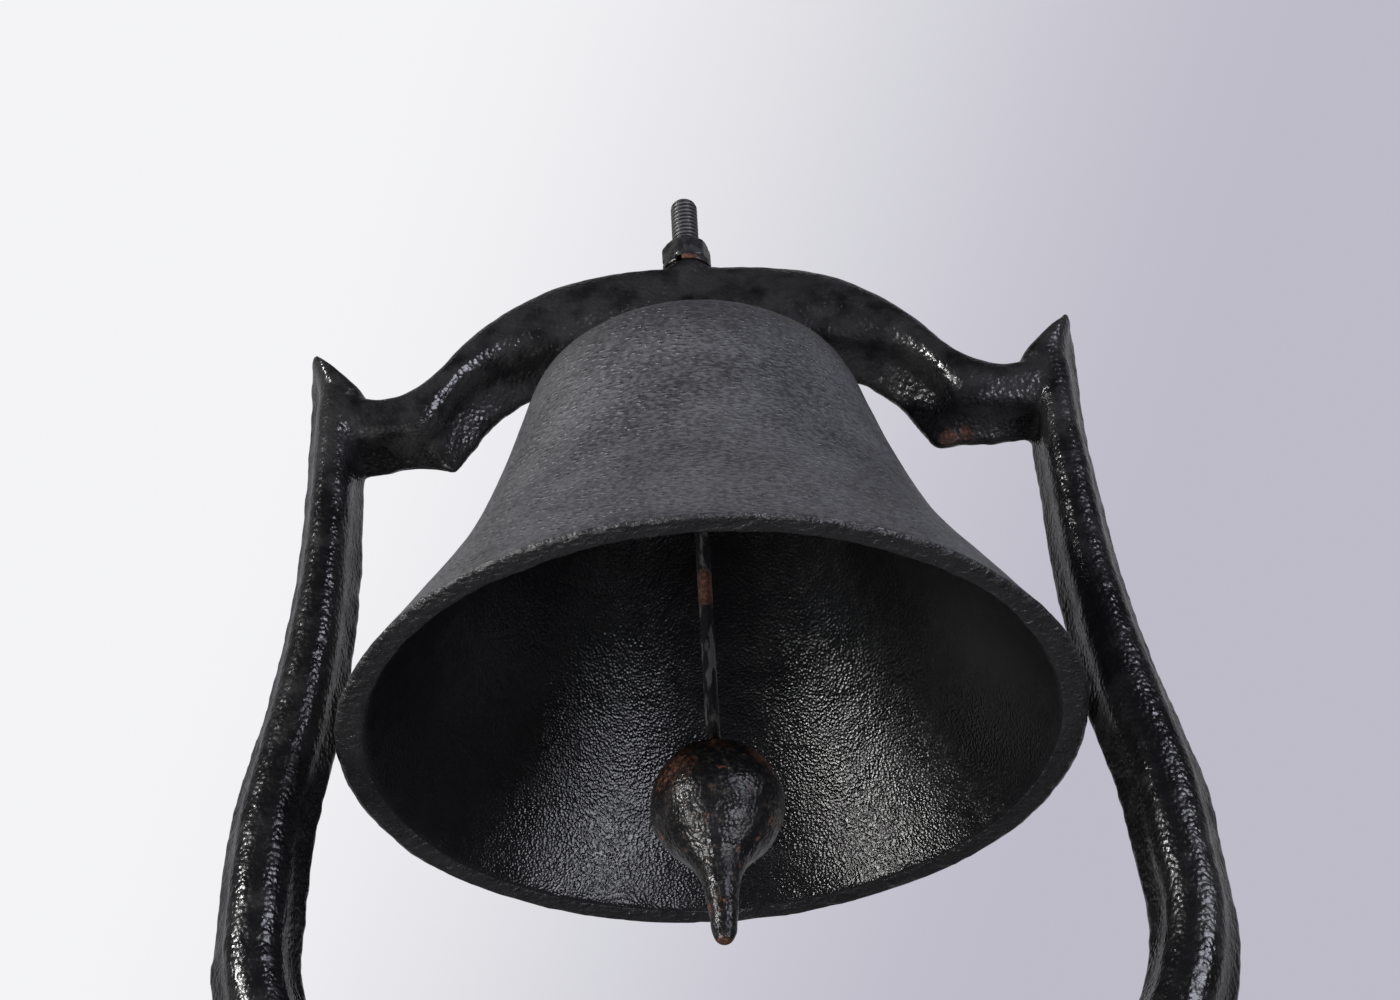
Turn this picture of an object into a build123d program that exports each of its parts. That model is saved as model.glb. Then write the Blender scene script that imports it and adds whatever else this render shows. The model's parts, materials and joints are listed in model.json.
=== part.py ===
"""Yard dinner bell: an 8 in iron bell hung from the arch of a horned, post-mounted frame.

Millimetres, +Z up, front of the bell towards -Y. The origin is the middle of the foot's
underside, where the frame stands on its post.
"""

import os

from build123d import *

os.makedirs("parts", exist_ok=True)

# Heights above the underside of the foot
mouth_z = 196.0  # the bell's mouth
crown_h = 124.0  # crown above the mouth
crown_z = mouth_z + crown_h
hub_top_z = mouth_z + 162.5  # the washer's seat on the arch
arch_top = hub_top_z - mouth_z
bolt_tip_z = mouth_z + 189.5
pivot_z = mouth_z + 97.0  # centre of the wire that the clapper's eye hangs on

# Bell
mouth_r = 101.6  # 8 in mouth
lip_wall = 7.4
crown_wall = 6.0
crown_flat_r = 12.0  # flat inside the crown, for the washer
crown_boss_r = 11.0
crown_boss_h = 2.0  # the hub rests on this boss

# Frame casting
frame_depth = 20.0
front_edge_r = 7.0
back_edge_r = 4.0
inner_corner_r = 6.0
drop_point_r = 2.0
hub_r = 8.5
hub_low_z = crown_z + crown_boss_h
hoop_z = -56.0  # below the mouth, where the arms turn in to the hoop
hoop_outer_w = 134.6
hoop_outer_h = 112.0
hoop_inner_w = 111.0
hoop_inner_h = 88.0
foot_w = 88.0
foot_d = 70.0
foot_t = 8.0
foot_corner_r = 10.0
foot_edge_r = 2.5
foot_hole_r = 3.6  # clears a 1/4 in lag screw
foot_pitch_x = 64.0
foot_pitch_y = 46.0
neck_w = 44.0
neck_d = 30.0
neck_top_w = 30.0
neck_top_d = 19.0
neck_h = 26.0
neck_corner_r = 6.0

# 5/16-18 eyebolt, its washers and nut
thread_d = 7.94
thread_tip_r = 3.0
bolt_hole_r = 4.2
collar_r = 6.6
collar_t = 2.4
eye_wire_r = 2.6
eye_mean_r = 7.6
nut_af = 12.7
nut_h = 6.75
nut_bore_r = 4.0
nut_chamfer = 1.2
nut_turn = 12.0
lock_washer_r = 7.2
lock_washer_t = 2.0
lock_washer_gap = 1.6
gap_slant = 30.0
flat_washer_r = 9.5
flat_washer_t = 1.6

# Clapper
rod_r = 1.98  # 5/32 in rod
rod_eye_mean_r = 5.4
ball_r = 17.8
ball_z = mouth_z - 21.6
ball_top = 17.2  # height of the casting's top above the ball's centre
tail_r = 3.0
tail_tip = 41.6  # depth of the tail's tip below the ball's centre
rod_grip = 12.0  # length of rod held in the ball

front = Plane(origin=(0, 0, mouth_z), x_dir=(1, 0, 0), z_dir=(0, -1, 0))


# ---- Frame: arms, hoop, arch, hub, neck and foot in one casting ----

# Arch, shoulders, horns, arms and hoop from the front; heights here are from the bell's mouth
with BuildPart() as lyre:
    with BuildSketch(front) as outline:
        with BuildLine():
            valley = (91.5, 119.2)
            horn_tip = (111.6, 135.2)
            corner = (95.2, 99.6)
            drop_point = (68.8, 99.2)
            arch_soffit = (0, 131.0)
            Line((0, arch_top), (hub_r, arch_top))
            Spline(
                (hub_r, arch_top),
                (34.8, 159.4),
                (56.0, 148.6),
                (72.0, 130.0),
                valley,
                tangents=((1, 0), (1, 0)),
            )
            Spline(valley, (97.8, 122.6), (103.4, 128.6), horn_tip, tangents=((1, 0), (0.85, 0.5)))
            Spline(
                horn_tip,
                (111.4, 112),
                (114.6, 64),
                (121.8, 19),
                (131.2, -20),
                (hoop_outer_w, hoop_z),
                tangents=((-0.1, -1), (0, -1)),
            )
            EllipticalCenterArc((0, hoop_z), hoop_outer_w, hoop_outer_h, start_angle=-90, arc_size=90)
            Line((0, hoop_z - hoop_outer_h), (0, hoop_z - hoop_inner_h))
            EllipticalCenterArc((0, hoop_z), hoop_inner_w, hoop_inner_h, start_angle=-90, arc_size=90)
            Spline(
                (hoop_inner_w, hoop_z),
                (107.6, -20),
                (100.4, 18),
                (96.6, 64),
                corner,
                tangents=((0, 1), (-0.05, 1)),
            )
            Line(corner, drop_point)
            Spline(
                drop_point,
                (61.8, 109.6),
                (49.6, 123.0),
                (33.0, 128.6),
                arch_soffit,
                tangents=((-0.5, 1), (-1, 0)),
            )
            Line(arch_soffit, (0, arch_top))
        make_face()
        fillet(outline.vertices().sort_by_distance(corner)[0], radius=inner_corner_r)
        fillet(outline.vertices().sort_by_distance(drop_point)[0], radius=drop_point_r)
        mirror(about=Plane.YZ)
    extrude(amount=frame_depth / 2, both=True)
    fillet(lyre.faces().sort_by(Axis.Y)[0].edges(), radius=front_edge_r)
    fillet(lyre.faces().sort_by(Axis.Y)[-1].edges(), radius=back_edge_r)

# Foot plate with its four screw holes
with BuildPart() as foot:
    with BuildSketch(Plane.XY):
        RectangleRounded(foot_w, foot_d, foot_corner_r)
        with GridLocations(foot_pitch_x, foot_pitch_y, 2, 2):
            Circle(foot_hole_r, mode=Mode.SUBTRACT)
    extrude(amount=foot_t)
    fillet(foot.faces().sort_by(Axis.Z)[-1].outer_wire().edges(), radius=foot_edge_r)

with BuildPart() as frame:
    add(lyre.part)
    with Locations((0, 0, hub_top_z)):
        Cylinder(hub_r, hub_top_z - hub_low_z, align=(Align.CENTER, Align.CENTER, Align.MAX))
    add(foot.part)
    # Neck that flares from the hoop to the foot
    with BuildSketch(Plane.XY.offset(foot_t)):
        RectangleRounded(neck_w, neck_d, neck_corner_r)
    with BuildSketch(Plane.XY.offset(foot_t + neck_h)):
        RectangleRounded(neck_top_w, neck_top_d, neck_corner_r)
    loft()
    # Bolt hole down through the hub
    with Locations((0, 0, hub_top_z)):
        Hole(bolt_hole_r, depth=hub_top_z - hub_low_z)
frame.part.label = "frame"
export_step(frame.part, "parts/frame.step")


# ---- Bell: flared shell with a flat lip, domed crown and seating boss ----
with BuildPart() as bell:
    with BuildSketch(front):
        with BuildLine():
            lip_outer = (mouth_r, 0)
            lip_inner = (mouth_r - lip_wall, 0)
            crown_outer = (crown_boss_r, crown_h)
            crown_inner = (crown_flat_r, crown_h - crown_wall)
            Spline(
                lip_outer,
                (88.3, 20.3),
                (69.2, 50.8),
                (55.4, 84.6),
                (47.6, 109.0),
                (40.6, 118.4),
                crown_outer,
                tangents=((-0.78, 1), (-1, 0)),
            )
            Line(crown_outer, (crown_boss_r, crown_h + crown_boss_h))
            Line((crown_boss_r, crown_h + crown_boss_h), (bolt_hole_r, crown_h + crown_boss_h))
            Line((bolt_hole_r, crown_h + crown_boss_h), (bolt_hole_r, crown_h - crown_wall))
            Line((bolt_hole_r, crown_h - crown_wall), crown_inner)
            Spline(
                crown_inner,
                (33.6, 113.6),
                (42.0, 103.0),
                (49.6, 83.0),
                (63.0, 49.6),
                (80.6, 19.6),
                lip_inner,
                tangents=((1, 0), (0.72, -1)),
            )
            Line(lip_inner, lip_outer)
        make_face()
    revolve(axis=Axis.Z)
bell.part.label = "bell"
export_step(bell.part, "parts/bell.step")


# ---- Eyebolt: threaded shank with a collar and a forged eye inside the crown ----
collar_top_z = crown_z - crown_wall - flat_washer_t
with BuildPart() as eyebolt:
    with Locations((0, 0, collar_top_z)):
        Cylinder(
            thread_d / 2,
            bolt_tip_z - collar_top_z,
            align=(Align.CENTER, Align.CENTER, Align.MIN),
        )
    fillet(eyebolt.edges().group_by(Axis.Z)[-1], radius=thread_tip_r)
    with Locations((0, 0, collar_top_z)):
        Cylinder(collar_r, collar_t, align=(Align.CENTER, Align.CENTER, Align.MAX))
    with Locations((0, 0, pivot_z + eye_mean_r)):
        Torus(eye_mean_r, eye_wire_r, rotation=(90, 0, 0))
eyebolt.part.label = "eyebolt"
export_step(eyebolt.part, "parts/eyebolt.step")


# ---- Flat washer inside the crown ----
with BuildPart() as crown_washer:
    with BuildSketch(Plane.XY.offset(collar_top_z)):
        Circle(flat_washer_r)
        Circle(bolt_hole_r, mode=Mode.SUBTRACT)
    extrude(amount=flat_washer_t)
crown_washer.part.label = "crown_washer"
export_step(crown_washer.part, "parts/crown_washer.step")


# ---- Split lock washer on the hub, cut across by its slanted gap ----
with BuildPart() as lock_washer:
    with BuildSketch(Plane.XY.offset(hub_top_z)):
        Circle(lock_washer_r)
        Circle(bolt_hole_r, mode=Mode.SUBTRACT)
    extrude(amount=lock_washer_t)
    with Locations(Location((-lock_washer_r, 0, hub_top_z + lock_washer_t / 2), (gap_slant, 0, 0))):
        Box(lock_washer_r, lock_washer_gap, 3 * lock_washer_t, mode=Mode.SUBTRACT)
lock_washer.part.label = "lock_washer"
export_step(lock_washer.part, "parts/lock_washer.step")


# ---- Hex nut with chamfered corners ----
nut_low_z = hub_top_z + lock_washer_t
with BuildPart() as hex_nut:
    with BuildSketch(Plane.XY.offset(nut_low_z)):
        RegularPolygon(nut_af / 2, 6, major_radius=False, rotation=nut_turn)
        Circle(nut_bore_r, mode=Mode.SUBTRACT)
    extrude(amount=nut_h)
    # The turned blank that rounds off the six upper corners
    with BuildSketch(Plane.XZ):
        with BuildLine():
            Polyline(
                (0, nut_low_z),
                (nut_af, nut_low_z),
                (nut_af / 2 + nut_chamfer, nut_low_z + nut_h - nut_chamfer),
                (nut_af / 2 - nut_chamfer / 2, nut_low_z + nut_h),
                (0, nut_low_z + nut_h),
                close=True,
            )
        make_face()
    revolve(axis=Axis.Z, mode=Mode.INTERSECT)
hex_nut.part.label = "hex_nut"
export_step(hex_nut.part, "parts/hex_nut.step")


# ---- Clapper rod: an eye bent round the eyebolt's eye, then the straight rod ----
rod_low_z = ball_z + ball_top - rod_grip
with BuildPart() as clapper_rod:
    with Locations((0, 0, pivot_z)):
        Torus(rod_eye_mean_r, rod_r, rotation=(0, 90, 0))
    with Locations((0, 0, rod_low_z)):
        Cylinder(
            rod_r,
            pivot_z - rod_eye_mean_r - rod_low_z,
            align=(Align.CENTER, Align.CENTER, Align.MIN),
        )
clapper_rod.part.label = "clapper_rod"
export_step(clapper_rod.part, "parts/clapper_rod.step")


# ---- Clapper ball: cast round the rod, drawn out below into a tail ----
with BuildPart() as clapper_ball:
    with BuildSketch(Plane(origin=(0, 0, ball_z), x_dir=(1, 0, 0), z_dir=(0, -1, 0))):
        with BuildLine():
            bore_top = (rod_r, ball_top)
            shoulder = (12.0, -13.15)
            tail_end = (tail_r, tail_r - tail_tip)
            ThreePointArc(bore_top, (ball_r, 0), shoulder)
            Spline(
                shoulder,
                (7.7, -18.1),
                (5.5, -22.2),
                (4.5, -28.5),
                tail_end,
                tangents=((-1.1, -1), (0, -1)),
            )
            RadiusArc(tail_end, (0, -tail_tip), tail_r)
            Line((0, -tail_tip), (0, ball_top - rod_grip))
            Line((0, ball_top - rod_grip), (rod_r, ball_top - rod_grip))
            Line((rod_r, ball_top - rod_grip), bore_top)
        make_face()
    revolve(axis=Axis.Z)
clapper_ball.part.label = "clapper_ball"
export_step(clapper_ball.part, "parts/clapper_ball.step")
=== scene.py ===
"""Looks of the yard dinner bell: rough cast iron under black enamel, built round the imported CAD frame.

Lengths in the tables below are millimetres. Heights called h are above the bell's mouth.
"""

import json
import math

import bmesh
import bpy
import numpy as np
from mathutils import Matrix, Vector, noise


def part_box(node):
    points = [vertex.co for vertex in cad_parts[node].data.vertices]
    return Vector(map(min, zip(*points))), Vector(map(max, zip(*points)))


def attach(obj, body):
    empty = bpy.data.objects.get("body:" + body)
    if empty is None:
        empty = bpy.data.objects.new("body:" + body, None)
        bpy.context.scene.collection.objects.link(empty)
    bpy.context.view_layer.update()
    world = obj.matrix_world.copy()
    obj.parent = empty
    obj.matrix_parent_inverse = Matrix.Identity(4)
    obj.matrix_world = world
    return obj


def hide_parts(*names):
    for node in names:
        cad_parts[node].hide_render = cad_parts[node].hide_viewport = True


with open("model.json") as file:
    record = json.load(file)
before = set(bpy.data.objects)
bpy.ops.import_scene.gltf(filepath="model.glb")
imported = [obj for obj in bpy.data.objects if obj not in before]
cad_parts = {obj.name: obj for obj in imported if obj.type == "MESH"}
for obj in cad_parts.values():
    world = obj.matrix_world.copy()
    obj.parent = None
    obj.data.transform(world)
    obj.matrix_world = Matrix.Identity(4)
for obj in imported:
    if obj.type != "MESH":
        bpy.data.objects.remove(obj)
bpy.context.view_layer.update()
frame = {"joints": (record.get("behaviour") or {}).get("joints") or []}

MM = 0.001
SEED_STEP = 17.3  # how far apart two seeds sample the noise

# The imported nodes' sizes. All but the mouth's own height, mouth_h, are heights above the mouth or radii.
mouth_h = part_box("bell")[0].z / MM
bell_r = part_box("bell")[1].x / MM
crown_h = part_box("bell")[1].z / MM - mouth_h
hub_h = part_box("lock_washer")[0].z / MM - mouth_h
nut_low_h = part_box("hex_nut")[0].z / MM - mouth_h
nut_top_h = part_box("hex_nut")[1].z / MM - mouth_h
bolt_top_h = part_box("eyebolt")[1].z / MM - mouth_h
pivot_h = frame["joints"][0]["pos_m"][2] / MM - mouth_h


# ---------------------------------------------------------------- curves and meshes


def curve_through(points, count):
    """count points along a smooth curve through points, with chord-length spacing."""
    p = np.array(points, float)
    t = np.concatenate([[0], np.cumsum(np.linalg.norm(np.diff(p, axis=0), axis=1))])
    step = np.diff(t)[:, None]
    slope = np.diff(p, axis=0) / step
    tangent = np.empty_like(p)
    tangent[0], tangent[-1] = slope[0], slope[-1]
    tangent[1:-1] = (slope[:-1] * step[1:] + slope[1:] * step[:-1]) / (step[1:] + step[:-1])
    at = np.linspace(0, t[-1], count)
    i = np.clip(np.searchsorted(t, at, side="right") - 1, 0, len(t) - 2)
    u = ((at - t[i]) / step[i, 0])[:, None]
    h = step[i]
    return (
        (2 * u**3 - 3 * u**2 + 1) * p[i]
        + (u**3 - 2 * u**2 + u) * h * tangent[i]
        + (3 * u**2 - 2 * u**3) * p[i + 1]
        + (u**3 - u**2) * h * tangent[i + 1]
    )


def mesh_object(name, vertices, faces):
    """A linked mesh object from millimetre vertices given above the mouth."""
    mesh = bpy.data.meshes.new(name)
    place = (np.asarray(vertices, float) + (0, 0, mouth_h)) * MM
    mesh.from_pydata(place.tolist(), [], faces)
    mesh.validate()
    piece = bpy.data.objects.new(name, mesh)
    bpy.context.scene.collection.objects.link(piece)
    return piece


def skin(name, rings, caps=True, closed_path=False):
    """A tube skinned over rings, an array of ring, point, xyz. Each ring is closed."""
    rings = np.asarray(rings, float)
    count, around = rings.shape[:2]
    faces = []
    for i in range(count if closed_path else count - 1):
        j = (i + 1) % count
        for k in range(around):
            m = (k + 1) % around
            faces.append((i * around + k, i * around + m, j * around + m, j * around + k))
    if caps and not closed_path:
        faces.append(tuple(range(around))[::-1])
        faces.append(tuple((count - 1) * around + k for k in range(around)))
    return face_outward(mesh_object(name, rings.reshape(-1, 3), faces))


def face_outward(piece):
    """Turns the piece's faces to point out of it."""
    shape = bmesh.new()
    shape.from_mesh(piece.data)
    bmesh.ops.recalc_face_normals(shape, faces=shape.faces)
    shape.to_mesh(piece.data)
    shape.free()
    return piece


def lathe(name, profile, around, closed=True):
    """A turned piece about the bell's axis from a profile of (radius, h) pairs.

    A closed profile comes back to its start, and an open one starts and ends at the axis.
    """
    profile = np.asarray(profile, float)
    angle = np.linspace(0, 2 * math.pi, around, endpoint=False)
    r = profile[:, 0][:, None]
    rings = np.stack(
        [r * np.cos(angle), r * np.sin(angle), np.repeat(profile[:, 1][:, None], around, 1)],
        axis=-1,
    )
    return skin(name, rings, caps=not closed, closed_path=closed)


def wire(name, path, radius, around, closed=False):
    """A round wire along a path that lies in one vertical plane."""
    path = np.array(path, float)
    ahead = np.roll(path, -1, 0) - np.roll(path, 1, 0)
    if not closed:
        ahead[0], ahead[-1] = path[1] - path[0], path[-1] - path[-2]
    ahead /= np.linalg.norm(ahead, axis=1)[:, None]
    flat = np.array((0.0, 1.0, 0.0)) if np.ptp(path[:, 1]) < 1e-6 else np.array((1.0, 0.0, 0.0))
    side = np.cross(ahead, flat)
    angle = np.linspace(0, 2 * math.pi, around, endpoint=False)
    rings = (
        path[:, None, :]
        + radius * np.cos(angle)[None, :, None] * flat
        + radius * np.sin(angle)[None, :, None] * side[:, None, :]
    )
    return skin(name, rings, closed_path=closed)


def evaluated(piece):
    """Replaces the piece's mesh with what its modifiers make of it."""
    graph = bpy.context.evaluated_depsgraph_get()
    mesh = bpy.data.meshes.new_from_object(piece.evaluated_get(graph))
    piece.modifiers.clear()
    piece.data = mesh


def joined(name, pieces):
    """One object that holds all the pieces' meshes."""
    shape = bmesh.new()
    for piece in pieces:
        shape.from_mesh(piece.data)
        bpy.data.objects.remove(piece)
    mesh = bpy.data.meshes.new(name)
    shape.to_mesh(mesh)
    shape.free()
    whole = bpy.data.objects.new(name, mesh)
    bpy.context.scene.collection.objects.link(whole)
    return whole


def fuse(piece, voxel, smoothing):
    """Melts overlapping shells into one casting."""
    melt = piece.modifiers.new("melt", "REMESH")
    melt.mode = "VOXEL"
    melt.voxel_size = voxel * MM
    melt.use_smooth_shade = True
    soften = piece.modifiers.new("soften", "SMOOTH")
    soften.factor = 0.5
    soften.iterations = smoothing
    evaluated(piece)


def cut(piece, cutter):
    """Cuts the cutter's shape out of the piece."""
    hole = piece.modifiers.new("hole", "BOOLEAN")
    hole.operation = "DIFFERENCE"
    hole.solver = "EXACT"
    hole.object = cutter
    evaluated(piece)
    bpy.data.objects.remove(cutter)


def smooth_shaded(piece):
    """Smooth shading over the whole piece."""
    piece.data.polygons.foreach_set("use_smooth", np.ones(len(piece.data.polygons), bool))


def mark_sharp(piece, degrees):
    """Smooth shading with edges sharper than degrees kept crisp."""
    smooth_shaded(piece)
    shape = bmesh.new()
    shape.from_mesh(piece.data)
    for edge in shape.edges:
        edge.smooth = len(edge.link_faces) == 2 and edge.calc_face_angle(0) < math.radians(degrees)
    shape.to_mesh(piece.data)
    shape.free()


def roughen(piece, layers, share=None):
    """Moves vertices along their normals by layers of (amplitude mm, size mm, seed).

    share(x, y, h) is what the movement is multiplied by.
    """
    mesh = piece.data
    count = len(mesh.vertices)
    co = np.empty(count * 3)
    normal = np.empty(count * 3)
    mesh.vertices.foreach_get("co", co)
    mesh.vertex_normals.foreach_get("vector", normal)
    co = co.reshape(-1, 3)
    normal = normal.reshape(-1, 3)
    move = np.zeros(count)
    for amplitude, size, seed in layers:
        sample = co / (size * MM) + seed * SEED_STEP
        move += amplitude * np.fromiter((noise.noise(s) for s in sample.tolist()), float, count)
    if share is not None:
        place = co / MM - (0, 0, mouth_h)
        move *= share(place[:, 0], place[:, 1], place[:, 2])
    mesh.vertices.foreach_set("co", (co + normal * (move * MM)[:, None]).ravel())
    mesh.update()


def keep_inside(piece, node):
    """Holds every vertex inside the CAD piece's own box."""
    low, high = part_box(node)
    for vertex in piece.data.vertices:
        vertex.co = [min(max(c, a), b) for c, a, b in zip(vertex.co, low, high)]


def disc_ring(radius, h, around, centre=(0.0, 0.0)):
    """One level ring of points."""
    angle = np.linspace(0, 2 * math.pi, around, endpoint=False)
    return np.stack(
        [centre[0] + radius * np.cos(angle), centre[1] + radius * np.sin(angle), np.full(around, h)],
        axis=-1,
    )


# ---------------------------------------------------------------- materials


class Nodes:
    """A short way to write one material's node tree."""

    def __init__(self, name):
        self.material = bpy.data.materials.new(name)
        self.material.use_nodes = True
        self.tree = self.material.node_tree
        self.shader = self.tree.nodes["Principled BSDF"]
        self.place = self.tree.nodes.new("ShaderNodeTexCoord").outputs["Object"]

    def node(self, kind, settings=None, **inputs):
        """Makes a node. An input is a value or another node's output.

        An input is named with _ for spaces, or by its number, such as i0.
        """
        made = self.tree.nodes.new(kind)
        for key, value in (settings or {}).items():
            setattr(made, key, value)
        for key, value in inputs.items():
            numbered = key[0] == "i" and key[1:].isdigit()
            self.put(made.inputs[int(key[1:]) if numbered else key.replace("_", " ")], value)
        return made

    def put(self, socket, value):
        """Links another node's output to the socket, or sets the socket's value."""
        if isinstance(value, bpy.types.NodeSocket):
            self.tree.links.new(value, socket)
        else:
            socket.default_value = value

    def stretched(self, scale):
        """Object coordinates scaled along x, y and z."""
        return self.node("ShaderNodeMapping", Vector=self.place, Scale=scale).outputs["Vector"]

    def noise(self, size, detail=3.0, roughness=0.55, vector=None):
        """Noise from 0 to 1 with features about size millimetres across."""
        made = self.node(
            "ShaderNodeTexNoise",
            Vector=self.place if vector is None else vector,
            Scale=1 / (size * MM),
            Detail=detail,
            Roughness=roughness,
        )
        return made.outputs["Fac"]

    def beads(self, size, vector=None):
        """Rounded bumps, 1 at their middles, about size millimetres apart."""
        made = self.node(
            "ShaderNodeTexVoronoi",
            {"feature": "SMOOTH_F1"},
            Vector=self.place if vector is None else vector,
            Scale=1 / (size * MM),
            Smoothness=0.4,
        )
        return self.math("SUBTRACT", 1.0, made.outputs["Distance"])

    def math(self, operation, a, b):
        """Works out a and b with one arithmetic operation."""
        return self.node("ShaderNodeMath", {"operation": operation}, i0=a, i1=b).outputs[0]

    def span(self, value, low, high, to_low=0.0, to_high=1.0):
        """Maps low..high smoothly to to_low..to_high."""
        made = self.node(
            "ShaderNodeMapRange",
            {"interpolation_type": "SMOOTHSTEP"},
            Value=value,
            i1=low,
            i2=high,
            i3=to_low,
            i4=to_high,
        )
        return made.outputs["Result"]

    def rise(self, low_h, high_h, to_low=0.0, to_high=1.0):
        """Goes smoothly from to_low to to_high between two heights above the mouth."""
        height = self.node("ShaderNodeSeparateXYZ", Vector=self.place).outputs["Z"]
        return self.span(height, (mouth_h + low_h) * MM, (mouth_h + high_h) * MM, to_low, to_high)

    def mix(self, share, a, b):
        """Mixes two colours."""
        made = self.node("ShaderNodeMix", {"data_type": "RGBA"}, i0=share, i6=a, i7=b)
        return made.outputs[2]

    def near(self, centre, radius):
        """1 at a point given in mm above the mouth, falling to 0 at radius."""
        point = (centre[0] * MM, centre[1] * MM, (centre[2] + mouth_h) * MM)
        away = self.node("ShaderNodeVectorMath", {"operation": "DISTANCE"}, i0=self.place, i1=point)
        return self.span(away.outputs["Value"], radius * MM, 0.0)

    def finish(self, colour, roughness, bumps):
        """Sets the shader. bumps are (height, depth mm, strength), the coarsest first."""
        self.put(self.shader.inputs["Base Color"], colour)
        self.put(self.shader.inputs["Roughness"], roughness)
        normal = None
        for height, depth, strength in bumps:
            bump = self.node("ShaderNodeBump", Height=height, Distance=depth * MM, Strength=strength)
            if normal is not None:
                self.put(bump.inputs["Normal"], normal)
            normal = bump.outputs["Normal"]
        self.put(self.shader.inputs["Normal"], normal)
        return self.material


BLACK = (0.0045, 0.0045, 0.005, 1)  # clean enamel
BLACK_DEEP = (0.008, 0.008, 0.0085, 1)  # the bell's inside where it is dull
BLACK_DUSTY = (0.020, 0.0195, 0.020, 1)  # dust on the frame
STAIN = (0.036, 0.027, 0.021, 1)  # brown on the ball
CHARCOAL = (0.028, 0.028, 0.031, 1)  # the bell's outside, darker patches, and the painted shade towards its crown
CHARCOAL_LIGHT = (0.126, 0.126, 0.134, 1)  # and lighter ones
LIP = (0.0085, 0.0085, 0.009, 1)  # the bell's lip
RUST_DARK = (0.030, 0.012, 0.007, 1)
RUST_BRIGHT = (0.14, 0.050, 0.024, 1)
PAINT_DARK = (0.010, 0.010, 0.011, 1)  # paint on the nut and washers
PAINT_LIGHT = (0.035, 0.035, 0.037, 1)
THREAD_ROOT = (0.006, 0.006, 0.007, 1)
THREAD_CREST = (0.060, 0.060, 0.062, 1)
ROD_PAINT = (0.012, 0.012, 0.013, 1)
ROD_STEEL_AND_HIGHLIGHT = (0.16, 0.155, 0.155, 1)  # where the rod's paint has worn through, also a painted highlight along the rod

# Heights over which the frame turns greyer towards the top, and painted shade darkens the bell towards its
# crown
GREYER_FROM_H = 20
GREYER_TO_H = 125
CROWN_SHADE_FROM_H = 88
CROWN_SHADE_TO_H = 120


def with_rust(n, colour, roughness, places, speckle):
    """Adds rust to a colour and a roughness near places, each (centre, radius, share).

    speckle is the noise above which rust also shows elsewhere, so less of it means more rust.
    """
    grain = n.span(n.noise(2.2, detail=5, roughness=0.7), 0.5, 0.62)
    mask = n.math("MULTIPLY", n.span(n.noise(9, detail=4), speckle, speckle + 0.04), grain)
    ragged = n.noise(1.6, detail=6, roughness=0.75)
    ragged = n.math("MULTIPLY", n.math("SUBTRACT", ragged, 0.5), 1.3)
    for centre, radius, share in places:
        spot = n.math("MULTIPLY", n.near(centre, radius), share)
        patch = n.span(n.math("ADD", spot, ragged), 0.30, 0.75)
        mask = n.math("MAXIMUM", mask, patch)
    rust = n.mix(n.span(n.noise(1.1, detail=4), 0.42, 0.76), RUST_DARK, RUST_BRIGHT)
    return n.mix(mask, colour, rust), n.math("MAXIMUM", roughness, n.math("MULTIPLY", mask, 0.85))


def gloss_enamel(name, grain, depth, gloss, places=(), speckle=0.80, dusty=BLACK_DUSTY, dust_size=11,
                 greyer_up=0.0, shine=0.5):
    """Thick glossy black enamel that follows a rough casting.

    grain and depth are the casting's pebbles in mm, and gloss is its least and most roughness.
    The argument after dust_size is how much more of the dusty colour the height adds, and shine is the
    shader's specular level.
    """
    n = Nodes(name)
    n.shader.inputs["Specular IOR Level"].default_value = shine
    grey_with_height = n.rise(GREYER_FROM_H, GREYER_TO_H, 0.0, greyer_up)
    dust = n.span(n.math("ADD", n.noise(dust_size, detail=5), grey_with_height), 0.50, 0.78)
    colour = n.mix(dust, BLACK, dusty)
    roughness = n.span(n.noise(6, detail=3), 0.3, 0.7, *gloss)
    colour, roughness = with_rust(n, colour, roughness, places, speckle)
    return n.finish(
        colour,
        roughness,
        [
            (n.noise(grain * 5, detail=3), depth * 2.4, 0.6),
            (n.beads(grain), depth * 1.5, 1.0),
            (n.noise(grain * 0.7, detail=2), depth * 0.6, 0.9),
        ],
    )


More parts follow.
